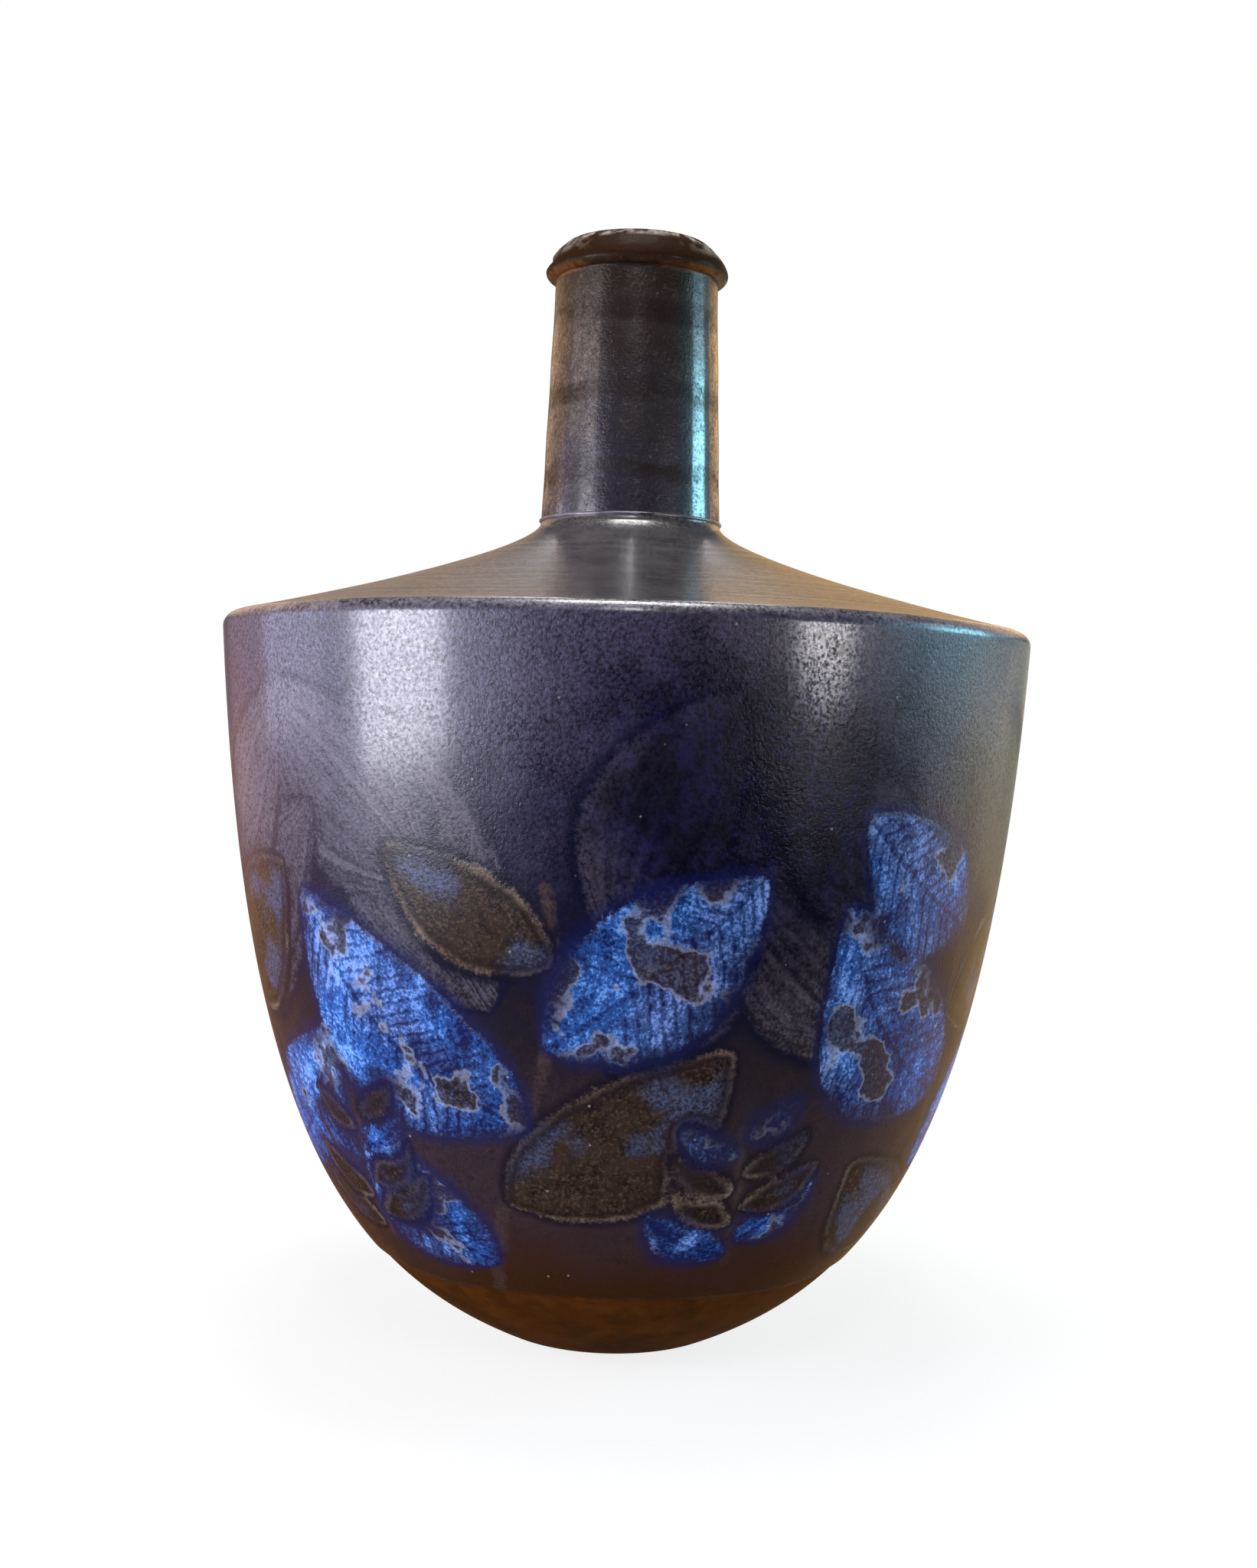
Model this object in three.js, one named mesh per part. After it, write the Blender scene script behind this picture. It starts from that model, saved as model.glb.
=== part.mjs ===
// Stoneware bottle vase: a deep thrown bowl, a wide shoulder with a sharp edge, a narrow neck with
// throwing rings, a rolled lip and a low foot ring, luted together with rings of slip.
// Millimetres, +Z up. The origin is the centre of the foot, on the table.

import * as THREE from "three";

const degrees = THREE.MathUtils.degToRad;

// Driving dimensions. Heights stack from the table up, so each piece carries the one above it.

const facets = 48; // sides of every turned piece

// Foot ring, let into a groove under the bowl and set back out of sight
const footDiameter = 44;
const footRingWidth = 7;
const footHeight = 4;
const footStand = 1.6; // how far the bowl is held off the table
const footChamfer = 0.6;
const grooveClearance = 0.3; // between the ring and each side of its groove

// Slip that lutes the sections together
const slipThickness = 0.8;
const neckSlipBead = 0.5; // how far the neck's slip stands proud of the joint

// Bowl
const bodyDiameter = 190; // over the shoulder edge, the widest place
const bowlHeight = 158.8; // underside to the luted rim
const bowlWall = 6;
const bowlFloor = 8;
const baseDiameter = 52; // flat of the underside
const baseRounding = 4; // from the flat into the wall
const undersideRise = degrees(26); // slope where the wall leaves that rounding
const undersideSweep = 36; // how far that slope carries along the wall
const wallFlare = degrees(3.7); // flare of the wall at the rim
const wallSweep = 117; // how far that flare carries down the wall

// Glaze coat, which stops short of the foot
const glazeLineHeight = 21; // underside of the bowl to the lower edge of the coat
const glazeThickness = 0.5;
const glazeRoll = 1.2; // height of the rounded edge where the coat ends

// Shoulder
const skirtHeight = 4.2; // luted joint up to the centre of the edge rounding
const edgeRadius = 3.2;
const shoulderWall = 5.5;
const shoulderRise = 27.8; // centre of the edge rounding up to the top of the collar
const shoulderSlope = degrees(12); // slope just inside the edge
const shoulderSweep = 17; // how far that slope carries inwards
const collarSweep = 7; // how far the collar's upright carries down
const insideCorner = 6; // rounding inside, between skirt and shoulder

// Neck
const neckBaseDiameter = 42.8;
const neckTopDiameter = 38.8;
const neckLength = 56.1;
const neckWall = 4;
const throwingRings = 3;
const throwingRingHeight = 0.25; // crest of a ring over its hollow

// Lip
const lipOverhang = 2.4;
const lipHeight = 8.8;
const lipSwell = 2; // seat up to the widest place
const lipCrestDiameter = 32.6;
const lipInsideDrop = 2; // depth of the rounding into the bore

// Heights of the joints
const bowlUnderside = footStand;
const grooveRoof = footHeight + slipThickness;
const bowlRim = bowlUnderside + bowlHeight;
const shoulderSeat = bowlRim + slipThickness;
const edgeCentreHeight = shoulderSeat + skirtHeight;
const collarTop = edgeCentreHeight + shoulderRise;
const neckSeat = collarTop + slipThickness;
const neckTop = neckSeat + neckLength;
const lipSeat = neckTop + slipThickness;

// Radii
const footRadius = footDiameter / 2;
const footBore = footRadius - footRingWidth;
const baseRadius = baseDiameter / 2;
const neckBaseRadius = neckBaseDiameter / 2;
const neckTopRadius = neckTopDiameter / 2;
const neckBaseBore = neckBaseRadius - neckWall;
const neckTopBore = neckTopRadius - neckWall;

// The wall flares up to the edge rounding, so the luted joint below it is a little narrower.
const edgeCentreRadius = bodyDiameter / 2 - edgeRadius;
const wallRadius = (height) => {
  const underEdge = edgeCentreRadius + edgeRadius / Math.cos(wallFlare);
  return underEdge - (edgeCentreHeight - height) * Math.tan(wallFlare);
};
const rimRadius = wallRadius(bowlRim);
const rimBore = rimRadius - bowlWall;

const at = (radius, height) => new THREE.Vector2(radius, height);
const heading = (angle, length) => at(Math.cos(angle) * length, Math.sin(angle) * length);

// A cubic curve that leaves one point and reaches another along the given vectors.
function sweepCurve(from, leaving, to, arriving) {
  return new THREE.CubicBezierCurve(from, from.clone().add(leaving), to.clone().sub(arriving), to);
}

// A point of a curve, moved to the curve's left.
function besideCurve(curve, t, distance) {
  const along = curve.getTangent(t);
  return curve.getPoint(t).add(at(-along.y * distance, along.x * distance));
}

// Points beside a curve, at a distance that runs from one value to another.
function offsetPoints(curve, steps, startDistance, endDistance) {
  const stations = Array.from({ length: steps + 1 }, (_, i) => i / steps);
  return stations.map((t) => besideCurve(curve, t, THREE.MathUtils.lerp(startDistance, endDistance, t)));
}

// The place along a rising curve where it reaches a height, by halving.
function stationAtHeight(curve, height) {
  let low = 0;
  let high = 1;
  for (let i = 0; i < 40; i++) {
    const middle = (low + high) / 2;
    if (curve.getPoint(middle).y < height) low = middle;
    else high = middle;
  }
  return low;
}

// Points of an elliptical arc, anticlockwise.
function arcPoints(centre, halfWidth, halfHeight, startAngle, endAngle, steps) {
  const arc = new THREE.EllipseCurve(centre.x, centre.y, halfWidth, halfHeight, startAngle, endAngle);
  return arc.getPoints(steps);
}

// A named solid turned about the vertical axis from (radius, height) points, anticlockwise.
function turned(name, material, profile) {
  const onAxis = profile[0].x === 0;
  const outline = onAxis ? profile : [...profile, profile[0]];
  const geometry = new THREE.LatheGeometry(outline, facets).rotateX(Math.PI / 2);
  const mesh = new THREE.Mesh(geometry, material);
  mesh.name = name;
  return mesh;
}

const material = (color, roughness, metalness) =>
  new THREE.MeshStandardMaterial({ color, roughness, metalness });
const bodyGlaze = material(0x2b2733, 0.32, 0.15);
const neckGlaze = material(0x2c2522, 0.35, 0.15);
const bareClay = material(0x6b4a30, 0.85, 0);
const slip = material(0x4a3a30, 0.7, 0);

// Foot ring: a low turned ring with its standing edges chamfered.
function footRing() {
  return turned("foot_ring", bareClay, [
    at(footBore, footChamfer),
    at(footBore + footChamfer, 0),
    at(footRadius - footChamfer, 0),
    at(footRadius, footChamfer),
    at(footRadius, footHeight),
    at(footBore, footHeight),
  ]);
}

// Bowl: a grooved flat underside rounds into a clay wall that sweeps up to the rim. The coat of glaze
// lies on the wall and ends in a small rounded step above the base.
function bowl() {
  const rounding = arcPoints(
    at(baseRadius, bowlUnderside + baseRounding),
    baseRounding,
    baseRounding,
    -Math.PI / 2,
    undersideRise - Math.PI / 2,
    3,
  );
  const wall = sweepCurve(
    rounding.pop(),
    heading(undersideRise, undersideSweep),
    at(rimRadius - glazeThickness, bowlRim),
    heading(Math.PI / 2 - wallFlare, wallSweep),
  );
  const coatEdge = bowlUnderside + glazeLineHeight;
  const lineStation = stationAtHeight(wall, coatEdge);
  const rollStation = stationAtHeight(wall, coatEdge + glazeRoll);
  const wallSteps = 18;
  const stations = Array.from({ length: wallSteps }, (_, i) => i / wallSteps);
  const bare = [...stations.filter((t) => t < lineStation), lineStation];
  const coated = [rollStation, ...stations.filter((t) => t > rollStation)];
  const halfRoll = (lineStation + rollStation) / 2;
  const clayDepth = bowlWall - glazeThickness;
  const floorOffset = bowlFloor / Math.cos(undersideRise);
  const inside = offsetPoints(wall, 11, floorOffset, clayDepth).slice(0, -1);
  const floor = inside[0].y;
  const grooveInside = footBore - grooveClearance;
  const grooveOutside = footRadius + grooveClearance;
  return turned("bowl", bodyGlaze, [
    at(0, bowlUnderside),
    at(grooveInside, bowlUnderside),
    at(grooveInside, grooveRoof),
    at(grooveOutside, grooveRoof),
    at(grooveOutside, bowlUnderside),
    ...rounding,
    ...bare.map((t) => wall.getPoint(t)),
    besideCurve(wall, halfRoll, -0.75 * glazeThickness),
    ...coated.map((t) => besideCurve(wall, t, -glazeThickness)),
    at(rimRadius, bowlRim),
    at(rimBore, bowlRim),
    ...inside.reverse(),
    at(0, floor),
  ]);
}

// Shoulder: a short skirt, the rounded edge, and a hollow sweep up to the collar that carries the neck.
function shoulder() {
  const edgeCentre = at(edgeCentreRadius, edgeCentreHeight);
  const edge = arcPoints(edgeCentre, edgeRadius, edgeRadius, -wallFlare, Math.PI / 2 - shoulderSlope, 6);
  const crown = sweepCurve(
    edge.pop(),
    heading(Math.PI - shoulderSlope, shoulderSweep),
    at(neckBaseRadius, collarTop),
    at(0, collarSweep),
  );
  const crownSteps = 12;
  const under = offsetPoints(crown, crownSteps, shoulderWall, neckWall)
    .slice(0, -1)
    .filter((point) => point.x < rimBore - insideCorner);
  const cornerStart = under.shift();
  const seatInside = at(rimBore, shoulderSeat);
  const corner = new THREE.QuadraticBezierCurve(cornerStart, at(rimBore, cornerStart.y), seatInside);
  return turned("shoulder", bodyGlaze, [
    seatInside,
    at(wallRadius(shoulderSeat), shoulderSeat),
    ...edge,
    ...crown.getPoints(crownSteps),
    at(neckBaseBore, collarTop),
    ...under.reverse(),
    ...corner.getPoints(5).slice(0, -1),
  ]);
}

// Neck: a tapered tube whose outside dips between throwing rings and is flush with the joints at its ends.
function neck() {
  const steps = throwingRings * 5;
  const outside = Array.from({ length: steps + 1 }, (_, i) => {
    const t = i / steps;
    const dip = (throwingRingHeight * (1 - Math.cos(t * throwingRings * 2 * Math.PI))) / 2;
    const taper = THREE.MathUtils.lerp(neckBaseRadius, neckTopRadius, t);
    return at(taper - dip, neckSeat + t * neckLength);
  });
  return turned("neck", neckGlaze, [at(neckBaseBore, neckSeat), ...outside, at(neckTopBore, neckTop)]);
}

// Lip: rolled outwards. It swells quickly over the neck, domes to a crest near the bore and rounds into it.
function lip() {
  const widest = at(neckTopRadius + lipOverhang, lipSeat + lipSwell);
  const crest = at(lipCrestDiameter / 2, lipSeat + lipHeight);
  const swell = arcPoints(at(neckTopRadius, widest.y), lipOverhang, lipSwell, -Math.PI / 2, 0, 4);
  const domeCentre = at(crest.x, widest.y);
  const dome = arcPoints(domeCentre, widest.x - crest.x, crest.y - widest.y, 0, Math.PI / 2, 7);
  const mouthEdge = at(neckTopBore, crest.y - lipInsideDrop);
  const roundOver = new THREE.QuadraticBezierCurve(crest, at(neckTopBore, crest.y), mouthEdge);
  return turned("lip", neckGlaze, [
    at(neckTopBore, lipSeat),
    ...swell.slice(0, -1),
    ...dome.slice(0, -1),
    ...roundOver.getPoints(4),
  ]);
}

// A flat ring of joining slip between two sections, rounded outside where it stands proud as a bead.
function slipRing(name, innerRadius, outerRadius, underside, bead = 0) {
  const half = slipThickness / 2;
  const top = underside + slipThickness;
  const outside = bead
    ? arcPoints(at(outerRadius, underside + half), bead, half, -Math.PI / 2, Math.PI / 2, 6)
    : [at(outerRadius, underside), at(outerRadius, top)];
  return turned(name, slip, [at(innerRadius, underside), ...outside, at(innerRadius, top)]);
}

const vase = new THREE.Group();
vase.add(
  footRing(),
  slipRing("foot_slip", footBore, footRadius, footHeight),
  bowl(),
  slipRing("shoulder_slip", rimBore, rimRadius, bowlRim),
  shoulder(),
  slipRing("neck_slip", neckBaseBore, neckBaseRadius, collarTop, neckSlipBead),
  neck(),
  slipRing("lip_slip", neckTopBore, neckTopRadius, neckTop),
  lip(),
);

export default vase;
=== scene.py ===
import math
import random
import bmesh
import bpy
import numpy as np
from mathutils import Matrix, Vector


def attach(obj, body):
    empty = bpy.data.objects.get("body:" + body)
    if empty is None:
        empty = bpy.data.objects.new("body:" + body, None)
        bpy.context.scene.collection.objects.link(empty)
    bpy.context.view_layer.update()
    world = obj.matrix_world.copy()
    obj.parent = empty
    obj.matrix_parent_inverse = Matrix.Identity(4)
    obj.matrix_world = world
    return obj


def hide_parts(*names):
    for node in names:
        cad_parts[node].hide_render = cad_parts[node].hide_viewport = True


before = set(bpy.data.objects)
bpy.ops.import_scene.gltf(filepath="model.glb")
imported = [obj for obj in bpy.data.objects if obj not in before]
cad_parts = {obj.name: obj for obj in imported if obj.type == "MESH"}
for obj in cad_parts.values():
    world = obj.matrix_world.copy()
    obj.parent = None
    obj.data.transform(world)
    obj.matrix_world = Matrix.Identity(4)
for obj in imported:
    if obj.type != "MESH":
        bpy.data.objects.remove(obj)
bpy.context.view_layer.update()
mm = 0.001
quarter, wholeTurn = math.pi / 2, math.pi * 2
print("frame loaded:", len(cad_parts), "nodes")


class Wire:  # a socket of a node tree, so that node maths reads as a sum
    def __init__(self, tree, socket=None):
        self.tree = tree
        self.socket = socket

    def feed(self, socket, value):
        if isinstance(value, list):  # several links into one joining socket
            for item in value:
                self.feed(socket, item)
        elif isinstance(value, Wire):
            self.tree.links.new(value.socket, socket)
        elif socket.type == "RGBA" and len(value) == 3:
            socket.default_value = (*value, 1)
        else:
            socket.default_value = value

    def node(self, kind, settings=None, inputs=None, output=0):  # settings first, then sockets
        made = self.tree.nodes.new(kind)
        for key, value in (settings or {}).items():
            setattr(made, key, value)
        for key, value in (inputs or {}).items():
            self.feed(made.inputs[key], value)
        return Wire(self.tree, made.outputs[output] if made.outputs else None)

    def math(self, operation, *values):
        return self.node("ShaderNodeMath", {"operation": operation}, dict(enumerate(values)))

    def vector(self, operation, *values, output=0):
        settings = {"operation": operation}
        return self.node("ShaderNodeVectorMath", settings, dict(enumerate(values)), output)

    def __add__(self, other):
        return self.math("ADD", self, other)

    def __sub__(self, other):
        return self.math("SUBTRACT", self, other)

    def __rsub__(self, other):
        return self.math("SUBTRACT", other, self)

    def __mul__(self, other):
        return self.math("MULTIPLY", self, other)

    def __truediv__(self, other):
        return self.math("DIVIDE", self, other)

    def __neg__(self):
        return self * -1

    __radd__ = __add__
    __rmul__ = __mul__

    def sine(self):
        return self.math("SINE", self)

    def cosine(self):
        return self.math("COSINE", self)

    def root(self):
        return self.math("SQRT", self)

    def least(self, other):
        return self.math("MINIMUM", self, other)

    def most(self, other):
        return self.math("MAXIMUM", self, other)

    def axis(self, number):  # one number of a vector
        return self.node("ShaderNodeSeparateXYZ", inputs={0: self}, output=number)

    def scaled(self, factors):
        return self.vector("MULTIPLY", self, factors)

    def length(self):
        return self.vector("LENGTH", self, output=1)

    def rise(self, low, high):  # 0 below low, 1 above high, smooth between
        ends = {"Value": self, "From Min": low, "From Max": high}
        return self.node("ShaderNodeMapRange", {"interpolation_type": "SMOOTHSTEP"}, ends)

    def ridge(self, up, down):  # a rise, and a fall further on
        return self.rise(*up) * (1 - self.rise(*down))

    def mix(self, factor, first, second):  # from the first colour to the second
        colours = {0: factor, 6: first, 7: second}
        return self.node("ShaderNodeMix", {"data_type": "RGBA"}, colours, 2)


def paint(red, green, blue):  # a screen colour, 0 to 255, as the light that shows it
    return tuple(
        c / 12.92 if c <= 0.04045 else ((c + 0.055) / 1.055) ** 2.4
        for c in (red / 255, green / 255, blue / 255)
    )


# Turned pieces: every wall is a band, one cubic profile curve swept round the vertical axis

bandInputs = {
    "Start": "Vector", "Start handle": "Vector", "End handle": "Vector", "End": "Vector",
    "Steps": "Int", "Sides": "Int", "Outset start": "Float", "Outset end": "Float",
    "Rings": "Float", "Ring depth": "Float", "Unevenness": "Float", "Seed": "Float",
    "Coat": "Float", "Coat edge": "Float", "Ceiling": "Float",
}
bandCorners = ("Start", "Start handle", "End handle", "End")
bandValues = {
    "unevenScale": 1.3, "unevenDetail": 2.0, "unevenTall": 3,
    "driftScale": 2.2, "driftDetail": 1.0, "driftSeed": 7,
    "coatDrift": 3 * mm, "coatStep": 1.4 * mm, "noCeiling": 10.0,
    "weld": 0.004 * mm, "cleaning": 0.001 * mm, "sharpAngle": math.radians(38),
}


def makeBandTree(v):
    tree = bpy.data.node_groups.new("turnedBand", "GeometryNodeTree")
    for name, kind in bandInputs.items():
        tree.interface.new_socket(name, in_out="INPUT", socket_type="NodeSocket" + kind)
    tree.interface.new_socket("Band", in_out="OUTPUT", socket_type="NodeSocketGeometry")
    w = Wire(tree)
    source = tree.nodes.new("NodeGroupInput")
    given = {name: Wire(tree, source.outputs[name]) for name in bandInputs}
    grid = w.node("GeometryNodeMeshGrid", inputs={
        "Size X": 1.0, "Size Y": 1.0,
        "Vertices X": given["Steps"] + 1, "Vertices Y": given["Sides"] + 1,
    })
    place = w.node("GeometryNodeInputPosition")
    along = place.axis(0) + 0.5
    turn = place.axis(1) * wholeTurn
    back = 1 - along

    def bezier(axis):  # place and slope of the profile on one axis
        a, b, c, d = (given[corner].axis(axis) for corner in bandCorners)
        spot = back * back * (back * a + 3 * along * b) + along * along * (3 * back * c + along * d)
        slope = back * back * (b - a) + 2 * along * back * (c - b) + along * along * (d - c)
        return spot, slope

    def point(x, y, z):
        return w.node("ShaderNodeCombineXYZ", inputs={0: x, 1: y, 2: z})

    def wander(seed, scale, detail):  # noise about zero, which meets itself round the band
        ring = point(turn.sine(), turn.cosine(), along * v["unevenTall"])
        return w.node("ShaderNodeTexNoise", {"noise_dimensions": "4D"}, {
            "Vector": ring, "W": seed, "Scale": scale, "Detail": detail}) - 0.5

    radius, radiusSlope = bezier(0)
    height, heightSlope = bezier(2)
    pace = (radiusSlope * radiusSlope + heightSlope * heightSlope).root().most(1e-9)
    uneven = wander(given["Seed"], v["unevenScale"], v["unevenDetail"])
    edgeDrift = wander(given["Seed"] + v["driftSeed"], v["driftScale"], v["driftDetail"])
    coatEdge = given["Coat edge"] + edgeDrift * v["coatDrift"]
    coat = given["Coat"] * height.rise(coatEdge, coatEdge + v["coatStep"])
    dip = given["Ring depth"] * 0.5 * (1 - (along * given["Rings"] * wholeTurn).cosine())
    flush = 4 * along * back  # nothing at the joints, so that neighbours meet
    outset = given["Outset start"] * back + given["Outset end"] * along + coat - dip
    outset = outset + given["Unevenness"] * 2 * uneven * flush
    radius = radius + outset * heightSlope / pace
    height = (height - outset * radiusSlope / pace).least(given["Ceiling"])
    spot = point(radius * turn.sine(), -(radius * turn.cosine()), height)
    swept = w.node("GeometryNodeSetPosition", inputs={"Geometry": grid, "Position": spot})
    w.node("NodeGroupOutput", inputs={"Band": swept})
    return tree


bandTree = makeBandTree(bandValues)


def between(first, second, share):
    return first * (1 - share) + second * share


def turnedTree(name, finish, sizes, outline, sides):  # the bands of one piece, joined
    tree = bpy.data.node_groups.new(name + "Turned", "GeometryNodeTree")
    for size in sizes:
        tree.interface.new_socket(size, in_out="INPUT", socket_type="NodeSocketFloat")
    tree.interface.new_socket("Piece", in_out="OUTPUT", socket_type="NodeSocketGeometry")
    w = Wire(tree)
    source = tree.nodes.new("NodeGroupInput")
    given = {size: Wire(tree, source.outputs[size]) for size in sizes}
    bands = []
    for points, steps, extras in outline(given):
        if len(points) == 2:  # a straight band gets its handles at the thirds
            start, end = points
            thirds = [[between(a, b, share) for a, b in zip(start, end)]
                      for share in (1 / 3, 2 / 3)]
            points = [start, *thirds, end]
        inputs = {"Steps": steps, "Sides": sides, "Ceiling": bandValues["noCeiling"], **extras}
        for corner, (r, z) in zip(bandCorners, points):
            inputs[corner] = w.node("ShaderNodeCombineXYZ", inputs={0: r, 2: z})
        bands.append(w.node("GeometryNodeGroup", {"node_tree": bandTree}, inputs))
    joined = w.node("GeometryNodeJoinGeometry", inputs={0: bands})
    closed = w.node("GeometryNodeMergeByDistance", inputs={
        "Geometry": joined, "Distance": bandValues["weld"]})
    real = w.node("GeometryNodeRealizeInstances", inputs={0: closed})
    dressed = w.node("GeometryNodeSetMaterial", inputs={"Geometry": real, "Material": finish})
    w.node("NodeGroupOutput", inputs={"Piece": dressed})
    return tree


def turnedPiece(name, finish, sizes, outline, sides):
    piece = bpy.data.objects.new(name, bpy.data.meshes.new(name))
    bpy.context.scene.collection.objects.link(piece)
    modifier = piece.modifiers.new("turned", "NODES")
    modifier.node_group = turnedTree(name, finish, sizes, outline, sides)
    for item in modifier.node_group.interface.items_tree:
        if item.in_out == "INPUT":
            modifier[item.identifier] = float(sizes[item.name])
    drawn = piece.evaluated_get(bpy.context.evaluated_depsgraph_get())
    mesh = bpy.data.meshes.new_from_object(drawn)
    piece.modifiers.remove(modifier)
    piece.data = mesh
    work = bmesh.new()
    work.from_mesh(mesh)
    bmesh.ops.remove_doubles(work, verts=work.verts, dist=bandValues["cleaning"])
    bmesh.ops.dissolve_degenerate(work, edges=work.edges, dist=bandValues["cleaning"])
    bmesh.ops.recalc_face_normals(work, faces=work.faces)
    openEdges = sum(not edge.is_manifold for edge in work.edges)
    work.to_mesh(mesh)
    work.free()
    mesh.shade_smooth()
    mesh.set_sharp_from_angle(angle=bandValues["sharpAngle"])
    print("turned", name, len(mesh.polygons), "faces,", openEdges, "open edges")
    return piece


def towards(point, angle, length):  # a point further along a heading
    return (point[0] + length * angle.cosine(), point[1] + length * angle.sine())


def arcReach(angle):  # handle length that makes a cubic follow an arc, for a radius of 1
    return 4 / 3 * math.tan(angle / 4)


# Bowl

bowlValues = {
    "Base radius": 26 * mm, "Base rounding": 4 * mm, "Underside": 1.6 * mm,
    "Rise": math.radians(26), "Underside sweep": 36 * mm,
    "Rim radius": 94.683 * mm, "Rim height": 160.4 * mm,
    "Flare": math.radians(3.7), "Wall sweep": 117 * mm,
    "Wall": 6 * mm, "Floor": 8 * mm,
    "Glaze line": 22.6 * mm, "Glaze thickness": 0.5 * mm,
    "Groove inside": 14.7 * mm, "Groove outside": 22.3 * mm, "Groove roof": 4.8 * mm,
    "Unevenness": 0.18 * mm, "Seed": 3.0,
}


def bowlOutline(v):
    base = (v["Base radius"], v["Underside"])
    rise, flare, glaze = v["Rise"], v["Flare"], v["Glaze thickness"]
    reach = v["Base rounding"] * arcReach(bowlValues["Rise"])
    wallStart = (base[0] + v["Base rounding"] * rise.sine(),
                 base[1] + v["Base rounding"] * (1 - rise.cosine()))
    rim = (v["Rim radius"], v["Rim height"])
    clayTop = (rim[0] - glaze * flare.cosine(), rim[1] + glaze * flare.sine())
    lowHandle = towards(wallStart, rise, v["Underside sweep"])
    highHandle = (clayTop[0] - v["Wall sweep"] * flare.sine(),
                  clayTop[1] - v["Wall sweep"] * flare.cosine())
    bore = (rim[0] - v["Wall"] * flare.cosine(), rim[1])
    floor = (wallStart[0] - v["Floor"] * rise.sine() / rise.cosine(), wallStart[1] + v["Floor"])
    coat = {"Coat": glaze, "Coat edge": v["Glaze line"],
            "Unevenness": v["Unevenness"], "Seed": v["Seed"]}
    inside = {"Outset start": v["Wall"] - glaze, "Outset end": v["Floor"] / rise.cosine(),
              "Ceiling": rim[1]}
    grooveIn, grooveOut, roof = v["Groove inside"], v["Groove outside"], v["Groove roof"]
    return [
        ([(0, base[1]), (grooveIn, base[1])], 2, {}),
        ([(grooveIn, base[1]), (grooveIn, roof)], 1, {}),
        ([(grooveIn, roof), (grooveOut, roof)], 1, {}),
        ([(grooveOut, roof), (grooveOut, base[1])], 1, {}),
        ([(grooveOut, base[1]), base], 1, {}),
        ([base, (base[0] + reach, base[1]), towards(wallStart, rise, -reach), wallStart], 4, {}),
        ([wallStart, lowHandle, highHandle, clayTop], 150, coat),
        ([rim, bore], 2, {}),
        ([clayTop, highHandle, lowHandle, wallStart], 30, inside),
        ([floor, (0, floor[1])], 3, {}),
    ]


# Shoulder

shoulderValues = {
    "Seat height": 161.2 * mm, "Seat radius": 94.735 * mm, "Seat bore": 88.683 * mm,
    "Edge centre radius": 91.79 * mm, "Edge centre height": 165.4 * mm, "Edge radius": 3.2 * mm,
    "Flare": math.radians(3.7), "Slope": math.radians(12),
    "Shoulder sweep": 17 * mm, "Collar sweep": 7 * mm,
    "Collar radius": 21.4 * mm, "Collar top": 193.2 * mm, "Collar wall": 4 * mm,
    "Inside collar sweep": 11 * mm, "Inside sweep": 21 * mm, "Inside sweep rise": 5.2 * mm,
    "Inside bend radius": 78 * mm, "Inside bend height": 166.3 * mm,
    "Inside bend sweep": 6 * mm, "Inside bend fall": 1.5 * mm, "Inside seat sweep": 2.5 * mm,
    "Unevenness": 0.12 * mm, "Seed": 11.0,
}


def shoulderOutline(v):
    flare, slope, edge, sweep = v["Flare"], v["Slope"], v["Edge radius"], v["Shoulder sweep"]
    middle = (v["Edge centre radius"], v["Edge centre height"])
    seat = (v["Seat radius"], v["Seat height"])
    bore = (v["Seat bore"], v["Seat height"])
    edgeStart = (middle[0] + edge * flare.cosine(), middle[1] - edge * flare.sine())
    edgeEnd = (middle[0] + edge * slope.sine(), middle[1] + edge * slope.cosine())
    reach = edge * arcReach(quarter - shoulderValues["Slope"] + shoulderValues["Flare"])
    collar = (v["Collar radius"], v["Collar top"])
    inner = (v["Collar radius"] - v["Collar wall"], v["Collar top"])
    bend = (v["Inside bend radius"], v["Inside bend height"])
    return [
        ([bore, seat], 2, {}),
        ([seat, edgeStart], 3, {}),
        ([edgeStart, (edgeStart[0] + reach * flare.sine(), edgeStart[1] + reach * flare.cosine()),
          (edgeEnd[0] + reach * slope.cosine(), edgeEnd[1] - reach * slope.sine()), edgeEnd],
         14, {}),
        ([edgeEnd, (edgeEnd[0] - sweep * slope.cosine(), edgeEnd[1] + sweep * slope.sine()),
          (collar[0], collar[1] - v["Collar sweep"]), collar],
         70, {"Unevenness": v["Unevenness"], "Seed": v["Seed"]}),
        ([collar, inner], 2, {}),
        ([inner, (inner[0], inner[1] - v["Inside collar sweep"]),
          (bend[0] - v["Inside sweep"], bend[1] + v["Inside sweep rise"]), bend], 26, {}),
        ([bend, (bend[0] + v["Inside bend sweep"], bend[1] - v["Inside bend fall"]),
          (bore[0], bore[1] + v["Inside seat sweep"]), bore], 8, {}),
    ]


# Neck and lip

neckValues = {
    "Seat height": 194 * mm, "Top height": 250.1 * mm,
    "Base radius": 21.4 * mm, "Top radius": 19.4 * mm, "Wall": 4 * mm,
    "Rings": 3, "Ring depth": 0.09 * mm, "Unevenness": 0.08 * mm, "Seed": 5.0,
}


def neckOutline(v):
    low, high = (v["Base radius"], v["Seat height"]), (v["Top radius"], v["Top height"])
    lowBore, highBore = (low[0] - v["Wall"], low[1]), (high[0] - v["Wall"], high[1])
    thrown = {name: v[name] for name in ("Rings", "Ring depth", "Unevenness", "Seed")}
    return [
        ([low, high], 80, thrown),
        ([high, highBore], 2, {}),
        ([highBore, lowBore], 20, {}),
        ([lowBore, low], 2, {}),
    ]


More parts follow.
